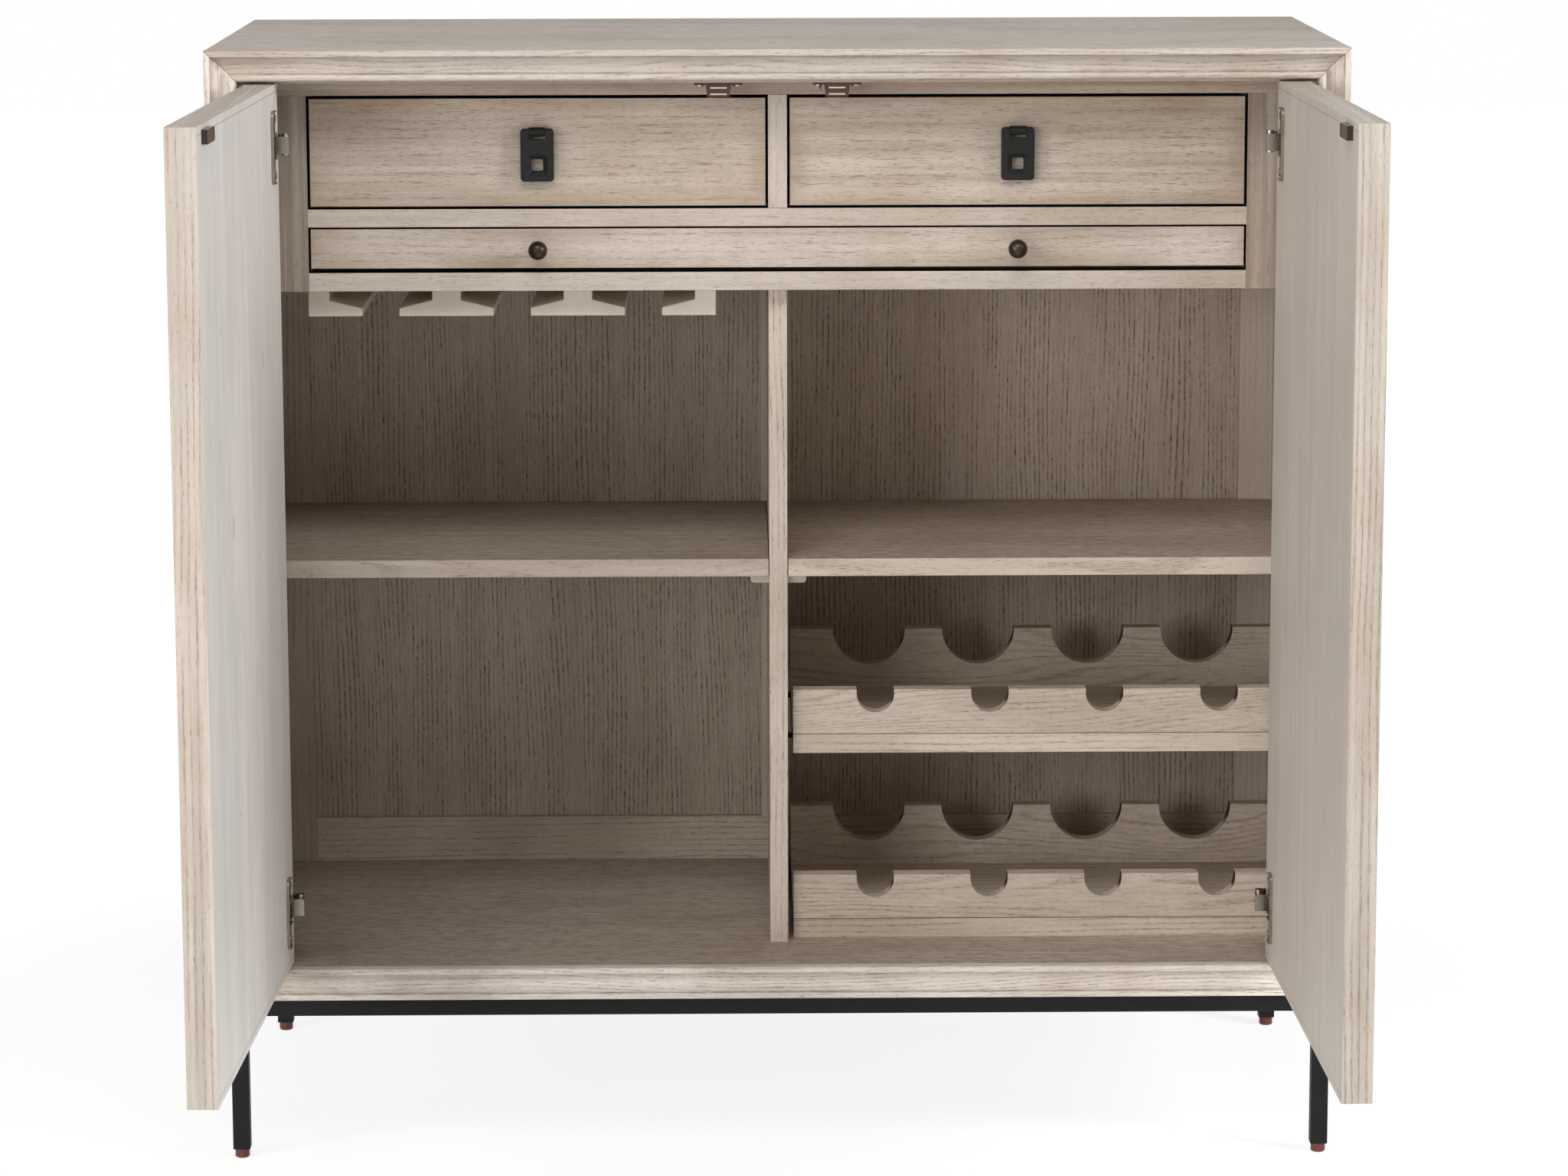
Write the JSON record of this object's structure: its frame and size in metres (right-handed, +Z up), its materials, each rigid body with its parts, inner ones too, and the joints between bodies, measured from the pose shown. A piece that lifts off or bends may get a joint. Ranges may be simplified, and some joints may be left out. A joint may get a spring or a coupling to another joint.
{
  "type": "bar cabinet",
  "caption": "Free-standing bar cabinet with hinged doors, drawers, a pull-out serving tray, a hanging stemware rack, wine bottle racks and shelves, on a square-tube steel base.",
  "frame": {"origin": "centre of the ground area covered by the cabinet with its doors standing open as stored, at floor level", "axes": "+X to the right of someone facing the open front, +Y from the front to the back, +Z up"},
  "size_m": [1.168, 1.0416, 1.168],
  "materials": {
    "weathered_oak": "whitewashed wire-brushed oak, horizontal grain, matte",
    "weathered_oak_upright": "whitewashed wire-brushed oak, vertical grain, matte",
    "glazed_frame": "whitewashed oak with brown glaze in the mouldings, matte",
    "door_oak": "whitewashed wire-brushed oak, vertical grain, matte",
    "drawer_box_wood": "lacquered light wood, satin",
    "black_steel": "black powder coat, satin",
    "glide": "dark red-brown, satin",
    "pull_metal": "dark pewter cast metal, matte",
    "knob_metal": "oil-rubbed bronze, satin",
    "hinge_nickel": "satin nickel",
    "screw_nickel": "nickel, satin",
    "catch_brown": "dark brown, matte",
    "pole_steel": "plain steel, satin",
    "strike_metal": "brown, satin",
    "slide_steel": "zinc plated, satin"
  },
  "bodies": {
    "cabinet": {"back_frame": "weathered_oak_upright", "back_panels": "weathered_oak_upright", "base_frame": "black_steel", "catch_bodies": "catch_brown", "catch_poles": "pole_steel", "catch_rail": "weathered_oak", "drawer_deck": "weathered_oak", "drawer_divider_boards": "weathered_oak_upright", "face_lower_rail": "weathered_oak", "face_middle_rail": "weathered_oak", "face_mullion": "weathered_oak_upright", "face_stiles": "weathered_oak_upright", "face_top_rail": "weathered_oak", "floor_panel": "weathered_oak", "frame_bottom_moulding": "glazed_frame", "frame_left_moulding": "glazed_frame", "frame_right_moulding": "glazed_frame", "frame_top_moulding": "glazed_frame", "glides": "glide", "hinge_arms": "hinge_nickel", "left_side_panel": "weathered_oak_upright", "partition": "weathered_oak_upright", "rack_boards": "weathered_oak", "rack_front_rails": "weathered_oak", "rack_rear_rails": "weathered_oak", "right_side_panel": "weathered_oak_upright", "screws_and_rack_pins": "screw_nickel", "shelf_cleats": "weathered_oak", "shelves": "weathered_oak", "slide_rails": "slide_steel", "stemware_rails": "weathered_oak", "top_panel": "weathered_oak", "tray_deck": "weathered_oak"},
    "left_door": {"left_door_panel": "door_oak", "left_door_lippings": "door_oak", "left_door_strike": "strike_metal", "left_hinge_leaves": "hinge_nickel", "left_hinge_pins_and_screws": "screw_nickel"},
    "right_door": {"right_door_panel": "door_oak", "right_door_lippings": "door_oak", "right_door_strike": "strike_metal", "right_hinge_leaves": "hinge_nickel", "right_hinge_pins_and_screws": "screw_nickel"},
    "left_drawer": {"left_drawer_front": "weathered_oak", "left_drawer_sides": "drawer_box_wood", "left_drawer_bottom": "drawer_box_wood", "left_drawer_runners": "slide_steel", "left_pull_mount": "pull_metal"},
    "right_drawer": {"right_drawer_front": "weathered_oak", "right_drawer_sides": "drawer_box_wood", "right_drawer_bottom": "drawer_box_wood", "right_drawer_runners": "slide_steel", "right_pull_mount": "pull_metal"},
    "tray": {"tray_front": "weathered_oak", "tray_board": "weathered_oak", "tray_lips": "weathered_oak", "tray_runners": "slide_steel", "tray_knobs": "knob_metal"},
    "left_pull": {"left_pull_flap": "pull_metal"},
    "right_pull": {"right_pull_flap": "pull_metal"}
  },
  "joints": [
    {"name": "left_door_hinge", "type": "hinge", "parent": "cabinet", "child": "left_door", "pos_m": [-0.534, 0.01232, 0.67], "axis": [0, 0, -1], "range_deg": [-92.3, 12.7]},
    {"name": "right_door_hinge", "type": "hinge", "parent": "cabinet", "child": "right_door", "pos_m": [0.534, 0.01232, 0.67], "axis": [0, 0, 1], "range_deg": [-91.2, 13.8]},
    {"name": "left_drawer_slide", "type": "slide", "parent": "cabinet", "child": "left_drawer", "axis": [0, -1, 0], "range_m": [0, 0.3]},
    {"name": "right_drawer_slide", "type": "slide", "parent": "cabinet", "child": "right_drawer", "axis": [0, -1, 0], "range_m": [0, 0.3]},
    {"name": "tray_slide", "type": "slide", "parent": "cabinet", "child": "tray", "axis": [0, -1, 0], "range_m": [0, 0.3]},
    {"name": "left_pull_swing", "type": "hinge", "parent": "left_drawer", "child": "left_pull", "pos_m": [-0.2495, 0.07822, 1.0778], "axis": [-1, 0, 0], "range_deg": [0, 90]},
    {"name": "right_pull_swing", "type": "hinge", "parent": "right_drawer", "child": "right_pull", "pos_m": [0.2495, 0.07822, 1.0778], "axis": [-1, 0, 0], "range_deg": [0, 90]}
  ]
}
